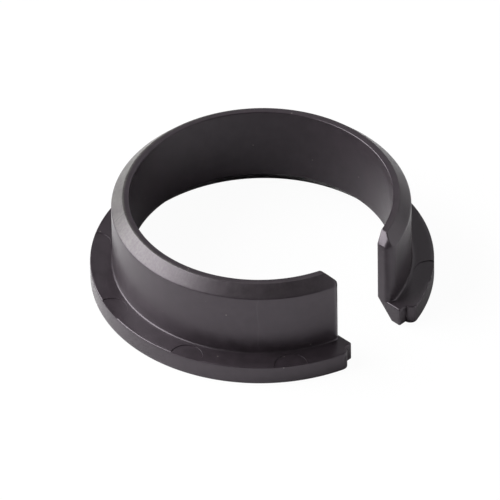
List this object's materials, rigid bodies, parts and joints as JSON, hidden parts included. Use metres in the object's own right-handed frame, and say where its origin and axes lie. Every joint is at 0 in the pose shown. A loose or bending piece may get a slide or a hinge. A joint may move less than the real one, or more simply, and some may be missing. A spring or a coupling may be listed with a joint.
{
  "type": "split flanged post collar",
  "caption": "Black plastic split collar for a round fence post: a flanged ring with a short sleeve, a lead-in on its free end and a gap that lets it spring.",
  "frame": {"origin": "on the bore axis, in the plane of the shoulder where the sleeve leaves the flange", "axes": "+Z along the bore, out of the sleeve's free end; +X through the middle of the gap"},
  "size_m": [0.0776, 0.0794, 0.0232],
  "materials": {
    "black_plastic": "as moulded, low sheen, slightly worn on the lead-in"
  },
  "bodies": {
    "root": {"split_flanged_collar": "black_plastic"}
  },
  "joints": []
}
